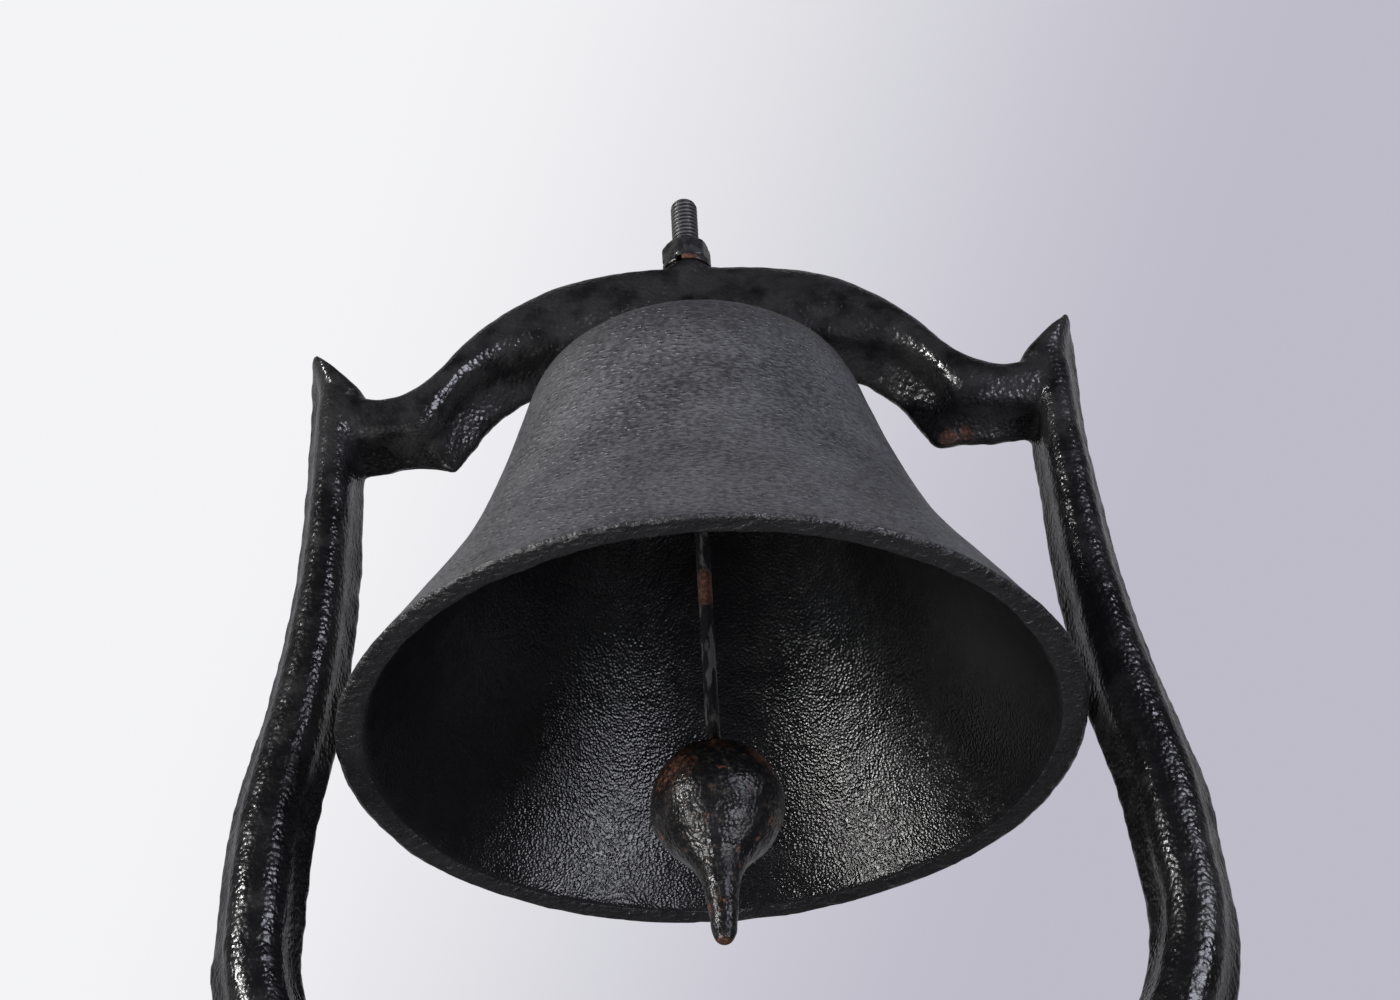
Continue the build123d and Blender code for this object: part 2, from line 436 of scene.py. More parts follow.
def satin_enamel(name):
    """Satin charcoal enamel of the bell's outside, with pimples drawn out sideways and painted shade
    darkening it towards the crown.
    """
    n = Nodes(name)
    flat = n.stretched((1, 1, 1.7))
    cloud = n.math("MULTIPLY", n.span(n.noise(26, detail=3), 0.3, 0.7), 0.35)
    grain = n.math("MULTIPLY", n.span(n.noise(1.7, detail=4, vector=flat), 0.36, 0.66), 0.65)
    colour = n.mix(n.math("ADD", cloud, grain), CHARCOAL, CHARCOAL_LIGHT)
    # painted shade: the colour darkens towards the crown
    colour = n.mix(n.rise(CROWN_SHADE_FROM_H, CROWN_SHADE_TO_H, 0.0, 0.7), colour, CHARCOAL)
    lip = n.rise(2.2, 0.4)
    colour = n.mix(lip, colour, LIP)
    roughness = n.span(n.noise(5, detail=4), 0.3, 0.7, 0.36, 0.52)
    roughness = n.math("SUBTRACT", roughness, n.math("MULTIPLY", lip, 0.05))
    colour, roughness = with_rust(n, colour, roughness, (), 0.86)
    pimple = n.span(n.beads(2.8, vector=flat), 0.62, 0.95)
    worn_lip = n.math("MULTIPLY", n.span(n.noise(3.2, detail=4), 0.35, 0.65), lip)
    pimple = n.math("MULTIPLY", pimple, n.rise(2.0, LIP_H, 0.4, 1.0))
    return n.finish(
        colour,
        roughness,
        [
            (n.noise(7, detail=3), 0.30, 0.6),
            (worn_lip, 0.50, 1.0),
            (pimple, 0.55, 1.0),
            (n.noise(1.0, detail=3, vector=flat), 0.14, 0.9),
        ],
    )


def painted_steel(name, places=()):
    """Satin black paint over machined steel."""
    n = Nodes(name)
    colour = n.mix(n.span(n.noise(2.5, detail=4), 0.4, 0.7), PAINT_DARK, PAINT_LIGHT)
    roughness = n.span(n.noise(1.5, detail=3), 0.3, 0.7, 0.25, 0.45)
    colour, roughness = with_rust(n, colour, roughness, places, 0.8)
    return n.finish(colour, roughness, [(n.noise(1.0, detail=4), 0.04, 0.6)])


def threaded_steel(name):
    """Black paint, grey on the crests of the thread and darkest in its roots."""
    n = Nodes(name)
    flat = n.node("ShaderNodeVectorMath", {"operation": "MULTIPLY"}, i0=n.place, i1=(1, 1, 0))
    length = n.node("ShaderNodeVectorMath", {"operation": "LENGTH"}, i0=flat.outputs["Vector"])
    crest = n.span(length.outputs["Value"], (THREAD_R - 0.55) * MM, (THREAD_R - 0.1) * MM)
    colour = n.mix(crest, THREAD_ROOT, THREAD_CREST)
    roughness = n.span(n.noise(1.5, detail=3), 0.3, 0.7, 0.24, 0.40)
    return n.finish(colour, roughness, [(n.noise(1.0, detail=4), 0.01, 0.6)])


def worn_steel_and_highlight(name, places):
    """Black paint rubbed through to grey steel along a rod, the grey streaks also a painted highlight."""
    n = Nodes(name)
    drawn = n.stretched((1, 1, 0.25))
    # the grey streaks are partly wear and partly painted highlight
    worn_and_highlight = n.span(n.noise(2.2, detail=4, vector=drawn), 0.48, 0.66)
    colour = n.mix(worn_and_highlight, ROD_PAINT, ROD_STEEL_AND_HIGHLIGHT)
    roughness = n.span(n.noise(2.4, detail=3, vector=drawn), 0.3, 0.7, 0.16, 0.28)
    colour, roughness = with_rust(n, colour, roughness, places, 0.8)
    n.put(n.shader.inputs["Metallic"], n.math("MULTIPLY", worn_and_highlight, 0.6))
    return n.finish(colour, roughness, [(n.noise(2.0, detail=3, vector=drawn), 0.10, 0.7)])


def dress(piece, material):
    """Gives the piece its material."""
    piece.data.materials.clear()
    piece.data.materials.append(material)


# ---------------------------------------------------------------- frame casting

# The half hoop below the arms: its middle's height, and its outer and inner radii across and down
HOOP_H = -56.0
HOOP_OUTER = (134.6, 112.0)
HOOP_INNER = (111.0, 88.0)

# The arm from the hoop to the horn's tip: inner x, inner h, outer x, outer h
ARM_RIBS = [
    (111.0, -56.0, 134.2, -56.0),
    (107.6, -20.0, 130.9, -18.0),
    (103.6, 0.0, 126.2, 2.0),
    (100.2, 20.0, 121.6, 21.0),
    (97.6, 44.0, 117.3, 44.0),
    (96.4, 70.0, 114.0, 70.0),
    (95.6, 92.0, 112.2, 93.0),
    (95.6, 106.0, 111.5, 106.0),
    (94.0, 113.0, 111.4, 115.0),
    (91.6, 119.0, 111.4, 122.6),
    (95.2, 122.8, 111.4, 126.6),
    (99.6, 126.8, 111.5, 129.6),
    (103.8, 130.6, 111.6, 132.0),
    (107.2, 134.0, 110.2, 134.4),
]

# The arch from the hub out to the arm: soffit x, h, top x, h, width of the drafted underside,
# and how far the ridge stands forward
ARCH_RIBS = [
    (0.0, 131.0, 0.0, 162.2, 2.6, 7.2),
    (10.0, 131.0, 10.5, 162.2, 2.6, 8.0),
    (22.0, 130.2, 24.0, 161.0, 2.8, 9.2),
    (35.0, 128.2, 38.5, 158.2, 3.2, 9.8),
    (48.0, 123.6, 55.0, 149.2, 5.2, 9.8),
    (57.6, 116.0, 66.6, 138.2, 7.6, 9.8),
    (64.6, 105.6, 75.4, 127.2, 9.6, 9.8),
    (69.4, 98.8, 82.6, 122.2, 8.0, 9.8),
    (76.0, 99.8, 88.4, 119.8, 4.2, 9.8),
    (86.0, 100.2, 94.0, 119.8, 3.2, 9.8),
    (97.0, 99.6, 99.2, 123.2, 3.0, 9.6),
    (102.0, 99.6, 103.4, 126.8, 3.0, 9.4),
]

PLATE_BACK = 9.7  # y of the flat back
RIDGE_FOOT = -0.6  # y where the flanks meet the ridge
RIDGE_MOST = 9.8  # how far forward the ridge may stand
BACK_ROUND = 1.6  # radius of the back's edges

# How an arm's section is drafted on its inner and outer flanks, as shares of its width
ARM_DRAFTS = (0.12, 0.17)

VOXEL = 1.05  # grid on which the casting's parts are melted together
HUB_R = 7.6
BOLT_HOLE_R = 4.2
FOOT_HOLE_R = 3.6
FOOT_HOLES = [(x, y) for x in (-32, 32) for y in (-23, 23)]
DROP_POINT = (80, 99)  # x and h under the shoulders, where the casting is most ragged


def rib_section(low, high, low_draft, high_draft, proud, low_power, high_power):
    """Points of one rib's section: flat back, flanks drafted forward, a rounded ridge in front.

    low and high are the back's edges as (x, h). The powers shape the ridge's two shoulders: 2 is
    a quarter circle and more is squarer.
    """
    low, high = np.array(low, float), np.array(high, float)
    width = np.linalg.norm(high - low)
    along = (high - low) / width
    soft = min(BACK_ROUND, width * 0.25)
    section = [(u, PLATE_BACK) for u in np.linspace(soft, width - soft, 9)]
    section += [(width - soft * 0.3, PLATE_BACK - soft * 0.3), (width, PLATE_BACK - soft)]
    section += [(width + 0.25, 6.6), (width - high_draft * 0.30, 4.6), (width - high_draft * 0.68, 2.0)]
    middle = (low_draft + width - high_draft) / 2
    half = (width - high_draft - low_draft) / 2
    for s in np.cos(np.linspace(0, math.pi, 25)):
        power = high_power if s > 0 else low_power
        rise = (1 - abs(s) ** power) ** (1 / power) if abs(s) < 1 else 0.0
        section.append((middle + half * s, RIDGE_FOOT - (proud + RIDGE_FOOT) * rise))
    section += [(low_draft * 0.68, 2.0), (low_draft * 0.30, 4.6), (-0.25, 6.6)]
    section += [(0.0, PLATE_BACK - soft), (soft * 0.3, PLATE_BACK - soft * 0.3)]
    return [(low[0] + along[0] * u, y, low[1] + along[1] * u) for u, y in section]


def mirrored(rings):
    """The rings' mirror image in x, in the opposite order."""
    return np.asarray(rings)[::-1] * (-1, 1, 1)


def frame_arms():
    """Both arms and the hoop below them, as one sweep from horn tip to horn tip."""
    low_draft, high_draft = ARM_DRAFTS
    turn = np.linspace(-math.pi / 2, 0, 60)[:-1]
    hoop = [
        (HOOP_INNER[0] * math.cos(a), HOOP_H + HOOP_INNER[1] * math.sin(a),
         HOOP_OUTER[0] * math.cos(a), HOOP_H + HOOP_OUTER[1] * math.sin(a))
        for a in turn
    ]
    ribs = np.concatenate([hoop, curve_through(ARM_RIBS, 90)])
    rings = []
    for inner_x, inner_h, outer_x, outer_h in ribs:
        width = math.hypot(outer_x - inner_x, outer_h - inner_h)
        rings.append(
            rib_section((inner_x, inner_h), (outer_x, outer_h), width * low_draft, width * high_draft,
                        min(RIDGE_MOST, 5.4 + width * 0.4), 2.3, 2.3)
        )
    return skin("arms", np.concatenate([mirrored(rings)[:-1], rings]))


def frame_arch():
    """The arch over the bell, from shoulder to shoulder, with a squarer ridge near the hub."""
    rings = []
    for soffit_x, soffit_h, top_x, top_h, underside, proud in curve_through(ARCH_RIBS, 90):
        squarer = max(0.0, 1 - soffit_x / 30)
        rings.append(
            rib_section((soffit_x, soffit_h), (top_x, top_h), underside, 1.4, proud,
                        2.4, 2.0 + 1.6 * squarer)
        )
    return skin("arch", np.concatenate([mirrored(rings)[:-1], rings]))


def rounded_rectangle(width, depth, corner, h, per_corner=8):
    """A level ring with round corners."""
    ring = []
    for quarter, (sx, sy) in enumerate([(1, 1), (-1, 1), (-1, -1), (1, -1)]):
        for a in np.linspace(0, math.pi / 2, per_corner) + quarter * math.pi / 2:
            ring.append((sx * (width / 2 - corner) + corner * math.cos(a),
                         sy * (depth / 2 - corner) + corner * math.sin(a), h))
    return ring


def frame_foot():
    """Foot plate and the neck that flares into it.

    Each level is its width, depth, corner radius and height over the foot.
    """
    foot = -mouth_h
    plate = [(86.0, 68.0, 9.0, 0.0), (88.0, 70.0, 10.0, 0.8), (88.0, 70.0, 10.0, 5.6),
             (87.0, 69.0, 9.5, 7.2), (84.0, 66.0, 8.0, 8.0)]
    neck = [(60.0, 46.0, 14.0, 6.5), (51.0, 37.0, 12.0, 8.6), (44.0, 30.0, 10.0, 12.0),
            (38.0, 25.0, 8.5, 17.0), (34.0, 22.0, 7.5, 24.0), (33.0, 20.0, 7.0, 32.0),
            (36.0, 18.6, 6.0, 40.0)]
    return [
        skin("plate", [rounded_rectangle(w, d, c, foot + h) for w, d, c, h in plate]),
        skin("neck", [rounded_rectangle(w, d, c, foot + h) for w, d, c, h in neck]),
    ]


def frame_hub():
    """The round hub on the arch, with a rounded shoulder under the lock washer."""
    profile = [(0.01, hub_h), (HUB_R - 1.4, hub_h), (HUB_R - 0.5, hub_h - 0.7), (HUB_R, hub_h - 2.4),
               (HUB_R, crown_h + 0.4), (0.01, crown_h + 0.4)]
    return lathe("hub", profile, 64, closed=False)


def frame_raggedness(x, y, h):
    """How rough the frame is cast: fine at the hub and foot, coarse at the back and the drop points."""
    at_hub = (np.hypot(x, y) < 10) & (h > hub_h - 3)
    at_foot = h < 10 - mouth_h
    ragged = 1 + 0.9 * np.clip((y - 5) / 3, 0, 1)
    drop_x, drop_h = DROP_POINT
    ragged += 2.2 * np.exp(-(((np.abs(x) - drop_x) / 10) ** 2) - ((h - drop_h) / 3) ** 2)
    return np.where(at_hub, 0.1, np.where(at_foot, 0.25, ragged))


def drill(piece, radius, low, high, centre=(0.0, 0.0)):
    """Drills an upright round hole from low to high."""
    cut(piece, skin("drill", [disc_ring(radius, h, 32, centre) for h in (low, high)]))


def build_frame():
    """The whole frame casting, melted together, roughened and drilled."""
    whole = joined("frame_casting", [frame_arms(), frame_arch(), frame_hub(), *frame_foot()])
    fuse(whole, VOXEL, smoothing=3)
    roughen(whole, [(0.50, 30, 1), (0.18, 9, 2), (0.16, 3.6, 3)], frame_raggedness)
    keep_inside(whole, "frame")
    for centre in FOOT_HOLES:
        drill(whole, FOOT_HOLE_R, -mouth_h - 5, -mouth_h + 15, centre)
    drill(whole, BOLT_HOLE_R, crown_h - 5, hub_h + 5)
    smooth_shaded(whole)
    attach(whole, "root")
    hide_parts("frame")
    return whole


# ---------------------------------------------------------------- bell

# The bell's profile as (radius, h), in four runs: up the outside, over the seat under the hub, down the
# inside from the bore, and out along the lip
BELL_OUTER = [(101.3, 0.9), (96.0, 8.6), (88.3, 20.3), (78.2, 35.4), (69.2, 50.8), (62.0, 67.0),
              (55.4, 84.6), (51.2, 97.5), (47.6, 109.0), (45.2, 114.2), (40.6, 118.6), (33.0, 121.4),
              (22.0, 123.3), (11.6, 124.0)]
BELL_INNER = [(4.2, 118.0), (12.0, 118.0), (24.0, 117.3), (33.6, 113.6), (42.0, 103.0), (49.6, 83.0),
              (56.0, 65.5), (63.0, 49.6), (71.2, 34.4), (80.6, 19.6), (88.6, 8.0), (93.2, 1.6)]
BELL_SEAT = [(11.0, 125.0), (10.2, crown_h), (4.2, crown_h)]
BELL_LIP = [(94.2, 0.5), (96.0, 0.1), (98.0, 0.0), (100.2, 0.15)]
BELL_AROUND = 330  # points round each ring of its mesh
BELL_OUT_RINGS = 105
BELL_IN_RINGS = 95
LIP_H = 6.0  # how far up the lip's wear reaches


def lip_wear(x, y, h):
    """How worn the bell is: fully at its mouth, and not above LIP_H."""
    return np.clip(1 - h / LIP_H, 0, 1)


def build_bell():
    """The bell casting, rough all over and more worn near its lip."""
    outside = curve_through(BELL_OUTER, BELL_OUT_RINGS)
    inside = curve_through(BELL_INNER, BELL_IN_RINGS)
    profile = np.concatenate([outside, BELL_SEAT, inside, curve_through(BELL_LIP, 9)])
    bell = lathe("bell_casting", profile, BELL_AROUND)
    roughen(bell, [(0.26, 30, 5), (0.10, 9, 6), (0.055, 2.6, 7)])
    roughen(bell, [(0.40, 30, 5), (0.34, 7, 8), (0.22, 2.4, 9)], lip_wear)
    keep_inside(bell, "bell")
    smooth_shaded(bell)
    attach(bell, "root")
    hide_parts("bell")
    return bell


def paint_bell(bell, outside, inside):
    """Satin paint outside and on the lip, gloss inside, by the profile's rings."""
    bell.data.materials.append(outside)
    bell.data.materials.append(inside)
    ring = np.arange(len(bell.data.polygons)) // BELL_AROUND
    first = BELL_OUT_RINGS + len(BELL_SEAT)
    glossy = (ring >= first) & (ring < first + BELL_IN_RINGS)
    bell.data.polygons.foreach_set("material_index", glossy.astype(int))


# ---------------------------------------------------------------- bolt, nut and washers

PITCH = 25.4 / 18
THREAD_R = 3.94
THREAD_DEPTH = 0.84
TIP_DOME = 3.0  # how far down the thread's rounded tip reaches
TIP_R = 0.6  # radius of the flat left on the tip
SHANK_R = 3.6
EYE_R = 7.6  # from the eye's middle to the middle of its wire
EYE_WIRE_R = 2.58
NUT_FLATS = 12.7
NUT_TURN = math.radians(12)
LOCK_SPLIT_AT = math.radians(-110)
LOCK_SPLIT = 1.6 / 5.7  # the split's width over the ring's mean radius, in radians

# The nut from its lower face to its upper one: share of its height, and the radius its corners are
# turned down to, as a share of half the flats' distance or of the corners' radius
NUT_LEVELS = [
    (0.0, 0.97, "flats"), (0.02, 1.0, "flats"), (0.10, 0.985, "corner"), (0.14, 1.0, "corner"),
    (0.30, 1.0, "corner"), (0.5, 1.0, "corner"), (0.7, 1.0, "corner"), (0.82, 0.995, "corner"),
    (0.88, 0.97, "corner"), (0.96, 1.02, "flats"), (1.0, 0.95, "flats"),
]


def bolt_thread(low):
    """The threaded end from low up to its domed tip, as one helix."""
    around, per_turn = 72, 14
    turns = (bolt_top_h - low) / PITCH
    heights = np.linspace(low, bolt_top_h, int(turns * per_turn))
    angle = np.linspace(0, 2 * math.pi, around, endpoint=False)
    phase = (heights[:, None] / PITCH - angle[None, :] / (2 * math.pi)) % 1
    crest = 1 - np.abs(2 * phase - 1)
    radius = THREAD_R - THREAD_DEPTH * (1 - np.clip(crest * 1.35, 0.12, 1.0))
    into_dome = np.clip((heights - (bolt_top_h - TIP_DOME)) / TIP_DOME, 0, 0.999)
    limit = TIP_R + (THREAD_R - TIP_R) * np.sqrt(1 - into_dome**2)
    radius = np.minimum(radius, limit[:, None])
    rings = np.stack(
        [radius * np.cos(angle), radius * np.sin(angle), np.repeat(heights[:, None], around, 1)],
        axis=-1,
    )
    return skin("thread", rings)


def build_bolt():
    """Threaded end, plain shank, collar and forged eye."""
    low = hub_h - 3.0
    thread = bolt_thread(low)
    collar_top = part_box("crown_washer")[0].z / MM - mouth_h
    shank_low = collar_top - 1
    shank_high = low + 1
    shank = lathe("shank", [(0.01, shank_low), (SHANK_R, shank_low),
                            (SHANK_R, shank_high), (0.01, shank_high)], 48, closed=False)
    collar = lathe("collar", [(0.01, collar_top), (6.2, collar_top), (6.6, collar_top - 0.4),
                              (6.6, collar_top - 2.0), (5.8, collar_top - 2.5), (0.01, collar_top - 3.0)],
                   48, closed=False)
    eye_path = [(EYE_R * math.cos(a), 0, pivot_h + EYE_R + EYE_R * math.sin(a))
                for a in np.linspace(0, 2 * math.pi, 72, endpoint=False)]
    eye = wire("eye", eye_path, EYE_WIRE_R, 28, closed=True)
    bolt = joined("eyebolt_forging", [thread, shank, collar, eye])
    smooth_shaded(bolt)
    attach(bolt, "root")
    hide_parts("eyebolt")
    return bolt


def build_nut():
    """Hex nut with its corners turned off at both ends and a countersunk bore."""
    flats = NUT_FLATS / 2
    around = 96
    angle = np.linspace(0, 2 * math.pi, around, endpoint=False)
    hexagon = flats / np.cos(((angle - NUT_TURN) % (math.pi / 3)) - math.pi / 6)
    whole = {"flats": flats, "corner": hexagon.max()}
    height = nut_top_h - nut_low_h
    rings = []
    for share, turned, of in NUT_LEVELS:
        r = np.minimum(hexagon, whole[of] * turned)
        h = nut_low_h + height * share
        rings.append(np.stack([r * np.cos(angle), r * np.sin(angle), np.full(around, h)], axis=-1))
    for r, h in ((4.5, nut_top_h), (4.0, nut_top_h - 0.5), (4.0, nut_low_h + 0.5), (4.5, nut_low_h)):
        rings.append(disc_ring(r, h, around))
    nut = skin("hex_nut_turned", rings, closed_path=True)
    mark_sharp(nut, 25)
    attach(nut, "root")
    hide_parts("hex_nut")
    return nut


def build_lock_washer():
    """Split spring washer under the nut."""
    thick = nut_low_h - hub_h
    first = LOCK_SPLIT_AT + LOCK_SPLIT / 2
    angle = np.linspace(first, first + 2 * math.pi - LOCK_SPLIT, 90)
    section = [(4.3, 0.15), (4.45, 0), (7.0, 0), (7.2, 0.2), (7.2, thick - 0.2), (7.0, thick),
               (4.45, thick), (4.3, thick - 0.15)]
    rings = [[(r * math.cos(a), r * math.sin(a), hub_h + h) for r, h in section] for a in angle]
    washer = skin("lock_washer_ring", rings)
    mark_sharp(washer, 35)
    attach(washer, "root")
    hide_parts("lock_washer")
    return washer


def build_crown_washer():
    """Flat washer inside the crown, above the bolt's collar."""
    low, high = (corner.z / MM - mouth_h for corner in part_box("crown_washer"))
    washer = lathe("crown_washer_disc", [(4.3, low), (9.2, low), (9.5, low + 0.3), (9.5, high - 0.3),
                                         (9.2, high), (4.3, high)], 64)
    mark_sharp(washer, 35)
    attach(washer, "root")
    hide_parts("crown_washer")
    return washer


# ---------------------------------------------------------------- clapper

ROD_R = 1.95
BALL_H = -21.6  # the ball's middle

# The rod's bent end as (y, height above the hinge's axis)
ROD_LOOP = [(0.0, -14.0), (0.1, -11.5), (1.0, -9.0), (3.4, -5.6), (5.2, -1.6), (4.8, 2.4), (2.6, 4.9),
            (-0.6, 5.5), (-3.6, 4.1), (-5.3, 1.0), (-5.1, -2.4), (-3.2, -5.2), (-1.9, -6.7)]

# The ball and its tail as (radius, height above the ball's middle)
BALL_PROFILE = [(1.9, 17.5), (6.6, 16.5), (11.6, 13.5), (15.6, 8.6), (17.6, 2.6), (17.3, -4.0),
                (15.0, -9.6), (11.6, -13.5), (7.7, -18.1), (5.5, -22.2), (4.5, -28.5), (3.7, -34.5),
                (3.0, -38.8), (1.8, -41.0), (0.02, -41.6)]

SEAM_R = 0.45  # how far the casting seam spreads sideways
SEAM_H = 0.6  # and how far it stands out


def build_rod():
    """Clapper rod with its end bent round the bolt's eye."""
    straight = [(0.0, 0.0, h) for h in np.linspace(BALL_H + 8.0, pivot_h - 15.0, 40)]
    bent = [(0.0, y, pivot_h + h) for y, h in curve_through(ROD_LOOP, 60)]
    rod = wire("clapper_rod_bent", straight + bent, ROD_R, 24)
    roughen(rod, [(0.12, 7, 11), (0.08, 2.5, 12)])
    smooth_shaded(rod)
    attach(rod, "clapper")
    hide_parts("clapper_rod")
    return rod


def build_ball():
    """The ball with its tapered tail, cast round the rod's lower end."""
    profile = curve_through(BALL_PROFILE, 150) + (0, BALL_H)
    ball = lathe("clapper_ball_casting", profile, 280, closed=False)
    roughen(ball, [(0.45, 14, 13), (0.20, 5, 14), (0.12, 2.2, 15)])
    raise_seam(ball)
    smooth_shaded(ball)
    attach(ball, "clapper")
    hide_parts("clapper_ball")
    return ball


def raise_seam(ball):
    """A thin casting seam that wanders down the front of the ball from the rod."""
    co = np.empty(len(ball.data.vertices) * 3)
    ball.data.vertices.foreach_get("co", co)
    co = co.reshape(-1, 3)
    x, y, up = co[:, 0] / MM, co[:, 1] / MM, co[:, 2] / MM - mouth_h - BALL_H
    off = x - 0.2 * (17 - up) - 0.5 * np.sin(up / 2.5)
    height = SEAM_H * np.exp(-((off / SEAM_R) ** 2)) * np.clip((up + 4) / 6, 0, 1) * (y < 0)
    co[:, 1] -= height * MM
    ball.data.vertices.foreach_set("co", co.ravel())
    ball.data.update()


# ---------------------------------------------------------------- stage

FLOOR_H = -0.95  # metres, in the row frame
FLOOR_HALF = 30  # metres from its middle to each side
POST_W = 104
STAGE_GREY = (0.35, 0.35, 0.37, 1)
STAGE_GLOW = (0.94, 0.94, 1.0, 1)
FLOOR_GLOW = 0.62
POST_GLOW = 0.35

LIGHT_AWAY = 1.3  # metres from the bell to each softbox
WARM_WHITE = (1.0, 0.99, 0.97)
STRIP_WHITE = (1.0, 0.99, 0.98)
COOL_WHITE = (0.90, 0.91, 1.0)
BLUE_WHITE = (0.86, 0.87, 1.0)
ROOM_DARK = (0.02, 0.02, 0.022, 1)
ROOM_LIGHT = (0.42, 0.42, 0.44, 1)
BACKDROP_SHADE = (0.51, 0.50, 0.58, 1)
BACKDROP_LIGHT = (0.90, 0.90, 0.92, 1)

LENS = 94.0
SENSOR = 36
CAMERA_AWAY = 9.7  # its distance from the mouth, as so many times the mouth's radius
CAMERA_ELEVATION = -32.4  # degrees, where it stands as seen from the mouth
CAMERA_PITCH = 36.12  # degrees that it looks up
CAMERA_ROLL = -3.2


def stage_paint(name, glow):
    """Matt pale paint that glows only for the camera, so that it lights nothing."""
    paint = bpy.data.materials.new(name)
    paint.use_nodes = True
    shader = paint.node_tree.nodes["Principled BSDF"]
    shader.inputs["Base Color"].default_value = STAGE_GREY
    shader.inputs["Roughness"].default_value = 0.8
    shader.inputs["Emission Color"].default_value = STAGE_GLOW
    ray = paint.node_tree.nodes.new("ShaderNodeLightPath")
    seen = paint.node_tree.nodes.new("ShaderNodeMath")
    seen.operation = "MULTIPLY"
    seen.inputs[1].default_value = glow
    paint.node_tree.links.new(ray.outputs["Is Camera Ray"], seen.inputs[0])
    paint.node_tree.links.new(seen.outputs[0], shader.inputs["Emission Strength"])
    return paint


def build_stage():
    """Pale floor and a pale post that holds the foot up, both outside the object."""
    mesh = bpy.data.meshes.new("floor")
    corners = [(x * FLOOR_HALF, y * FLOOR_HALF, FLOOR_H) for x, y in ((-1, -1), (1, -1), (1, 1), (-1, 1))]
    mesh.from_pydata(corners, [], [(0, 1, 2, 3)])
    floor = bpy.data.objects.new("floor", mesh)
    bpy.context.scene.collection.objects.link(floor)
    levels = ((POST_W, FLOOR_H / MM - mouth_h), (POST_W, -mouth_h - 3.2), (POST_W - 3, -mouth_h - 0.3))
    post = skin("post", [rounded_rectangle(w, w, 6.0, h) for w, h in levels])
    mark_sharp(post, 35)
    for thing, glow in ((floor, FLOOR_GLOW), (post, POST_GLOW)):
        thing.data.materials.append(stage_paint(thing.name + "_paint", glow))


def softbox(name, azimuth, elevation, size, power, colour):
    """A rectangular area light that faces the bell from these angles in degrees."""
    light = bpy.data.lights.new(name, "AREA")
    light.shape = "RECTANGLE"
    light.size, light.size_y = size
    light.energy = power
    light.color = colour
    target = Vector((0, 0, (mouth_h + 20) * MM))
    lamp = bpy.data.objects.new(name, light)
    lamp.location = target + backward(azimuth, elevation) * LIGHT_AWAY
    lamp.rotation_euler = (target - lamp.location).to_track_quat("-Z", "Y").to_euler()
    bpy.context.scene.collection.objects.link(lamp)


def room_ramp(tree, value, low, high, dark, light):
    """A background colour that goes from dark to light as value goes from low to high."""
    share = tree.nodes.new("ShaderNodeMapRange")
    share.interpolation_type = "SMOOTHSTEP"
    share.inputs[1].default_value = low
    share.inputs[2].default_value = high
    tree.links.new(value, share.inputs[0])
    mix = tree.nodes.new("ShaderNodeMix")
    mix.data_type = "RGBA"
    mix.inputs[6].default_value = dark
    mix.inputs[7].default_value = light
    tree.links.new(share.outputs[0], mix.inputs[0])
    return mix.outputs[2]


def build_lights():
    """Softboxes to the left and right, low ones in front and strips above the mouth's level."""
    softbox("key", -64, -37, (0.36, 0.36), 14.6, WARM_WHITE)
    softbox("fill", 46, -40, (0.5, 0.5), 8.2, COOL_WHITE)
    softbox("left_strip", -57, 11, (0.18, 0.36), 16.5, STRIP_WHITE)
    softbox("right_strip", 42, 11, (0.6, 0.5), 11, BLUE_WHITE)


def build_room():
    """A room that is light behind the bell and dark in front, with a pale shaded backdrop."""
    world = bpy.data.worlds.new("room")
    world.use_nodes = True
    tree = world.node_tree
    towards = tree.nodes.new("ShaderNodeSeparateXYZ")
    tree.links.new(tree.nodes.new("ShaderNodeTexCoord").outputs["Generated"], towards.inputs[0])
    lit = tree.nodes["Background"]
    room = room_ramp(tree, towards.outputs["Y"], 0.0, 0.8, ROOM_DARK, ROOM_LIGHT)
    tree.links.new(room, lit.inputs["Color"])
    slope = tree.nodes.new("ShaderNodeMath")
    slope.operation = "MULTIPLY_ADD"
    slope.inputs[1].default_value = -0.5
    tree.links.new(towards.outputs["Z"], slope.inputs[0])
    tree.links.new(towards.outputs["X"], slope.inputs[2])
    seen = tree.nodes.new("ShaderNodeBackground")
    backdrop = room_ramp(tree, slope.outputs[0], -0.16, -0.42, BACKDROP_SHADE, BACKDROP_LIGHT)
    tree.links.new(backdrop, seen.inputs["Color"])
    ray = tree.nodes.new("ShaderNodeLightPath")
    mix = tree.nodes.new("ShaderNodeMixShader")
    tree.links.new(ray.outputs["Is Camera Ray"], mix.inputs[0])
    tree.links.new(lit.outputs[0], mix.inputs[1])
    tree.links.new(seen.outputs[0], mix.inputs[2])
    tree.links.new(mix.outputs[0], tree.nodes["World Output"].inputs["Surface"])
    bpy.context.scene.world = world


def build_camera():
    """A long lens below and in front of the bell, looking up into its mouth."""
    mouth = Vector((0, 0, mouth_h * MM))
    camera = bpy.data.objects.new("camera", bpy.data.cameras.new("camera"))
    camera.data.lens = LENS
    camera.data.sensor_width = SENSOR
    camera.location = mouth + backward(0.0, CAMERA_ELEVATION) * (CAMERA_AWAY * bell_r * MM)
    upright = (-backward(0.0, -CAMERA_PITCH)).to_track_quat("-Z", "Y").to_matrix()
    roll = Matrix.Rotation(math.radians(CAMERA_ROLL), 3, "Z")
    camera.rotation_euler = (upright @ roll).to_euler()
    bpy.context.scene.collection.objects.link(camera)
    bpy.context.scene.camera = camera


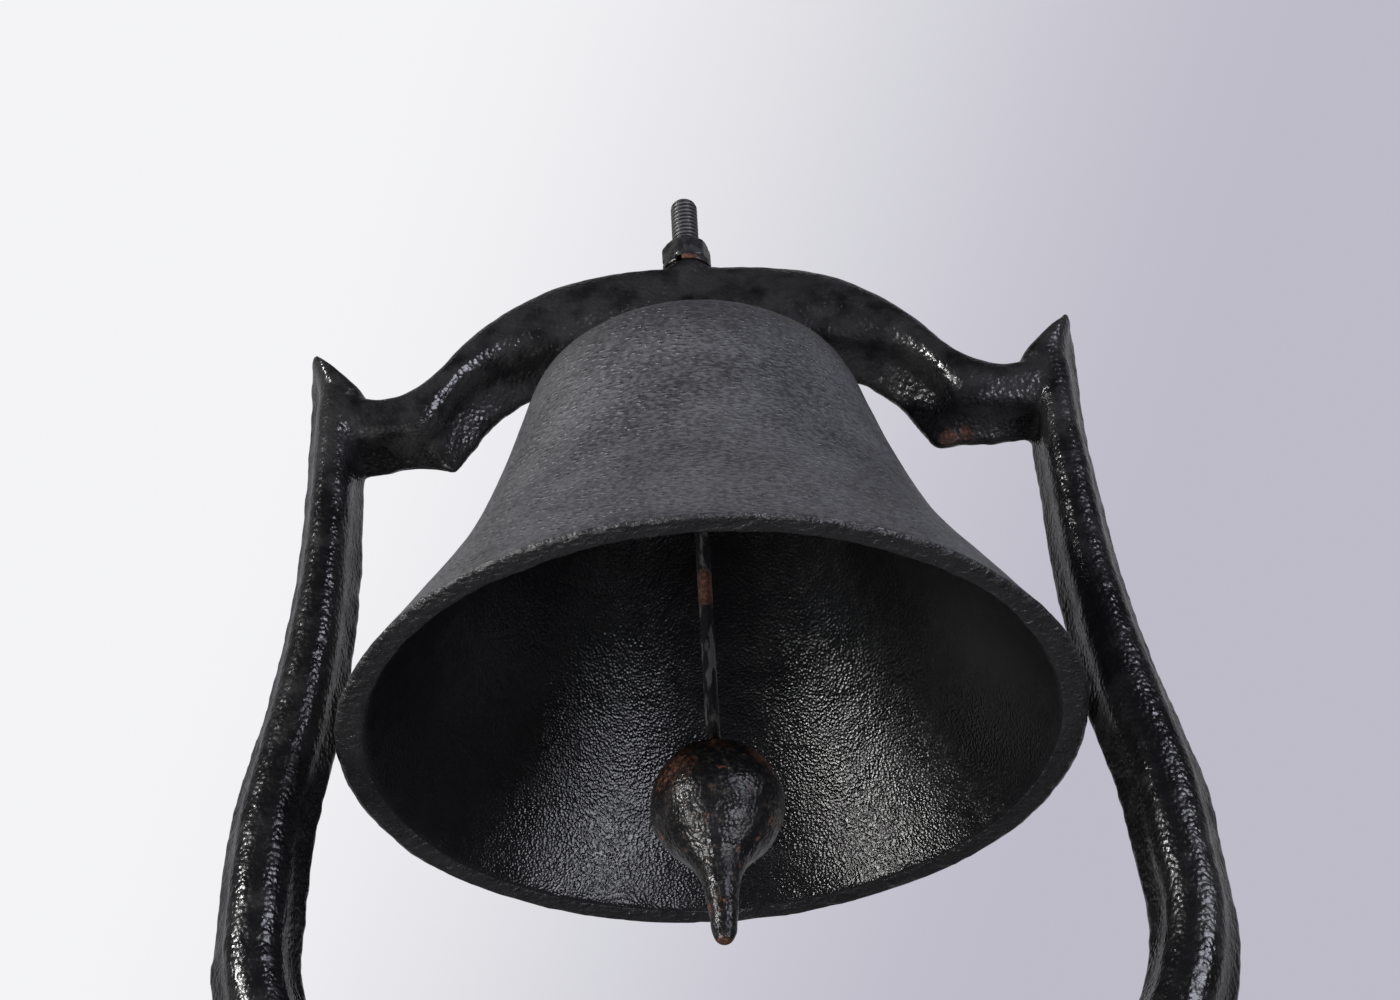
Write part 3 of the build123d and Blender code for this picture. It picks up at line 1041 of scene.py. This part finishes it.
def backward(azimuth, elevation):
    """The unit vector from a target to a camera at these angles in degrees."""
    a, e = math.radians(azimuth), math.radians(elevation)
    return Vector((math.sin(a) * math.cos(e), -math.cos(a) * math.cos(e), math.sin(e)))


# ---------------------------------------------------------------- making

# Rust: its middle (x, y, h), how far it reaches, and how strong it is
FRAME_RUST = (
    ((72, 4, 99), 6, 1.0),
    ((77, 4, 100), 5, 0.9),
    ((93, 2, 120), 5, 0.55),
    ((-84, -7, 116), 1.6, 0.8),
    ((-76, -8, 113), 1.3, 0.7),
    ((-80, 2, 99), 6, 0.62),
    ((105, 4, -130), 12, 0.5),
    ((-60, -6, -160), 10, 0.5),
    ((20, -30, 9 - mouth_h), 12, 0.5),
)
ROD_RUST = (
    ((0, -2, 48), 10, 1.4),
    ((0, 0, -3), 4, 0.8),
    ((0, 0, 90), 9, 0.7),
)
BALL_RUST = (
    ((-11, -13, -17), 17, 0.55),
    ((13, -9, -12), 11, 0.75),
    ((1, -14, -9), 10, 0.6),
    ((0, -4, -4), 12, 0.9),
    ((0, 0, -63), 4, 1.0),
)
NUT_RUST = tuple(((x, -7, nut_low_h - 1.5), 1.9, 1.0) for x in (-0.5, 1.0, 2.5, 4.0))

build_camera()
build_lights()
build_room()
build_stage()

frame_casting = build_frame()
bell = build_bell()
bolt = build_bolt()
nut = build_nut()
lock_washer = build_lock_washer()
crown_washer = build_crown_washer()
rod = build_rod()
ball = build_ball()

frame_enamel = gloss_enamel("frame_enamel", 1.4, 0.15, (0.20, 0.34), FRAME_RUST, greyer_up=0.18)
dress(frame_casting, frame_enamel)
bell_satin = satin_enamel("bell_satin")
bell_gloss = gloss_enamel("bell_gloss", 0.80, 0.105, (0.16, 0.27), dusty=BLACK_DEEP, shine=0.45)
paint_bell(bell, bell_satin, bell_gloss)
dress(bolt, threaded_steel("bolt_paint"))
dress(nut, painted_steel("nut_paint", NUT_RUST))
dress(lock_washer, painted_steel("lock_washer_paint", NUT_RUST))
dress(crown_washer, painted_steel("crown_washer_paint"))
dress(rod, worn_steel_and_highlight("rod_paint", ROD_RUST))
ball_enamel = gloss_enamel("ball_enamel", 1.1, 0.13, (0.22, 0.40), BALL_RUST, speckle=0.61,
                           dusty=STAIN, dust_size=2.0, shine=0.28)
dress(ball, ball_enamel)

bpy.context.scene.view_settings.view_transform = "Standard"
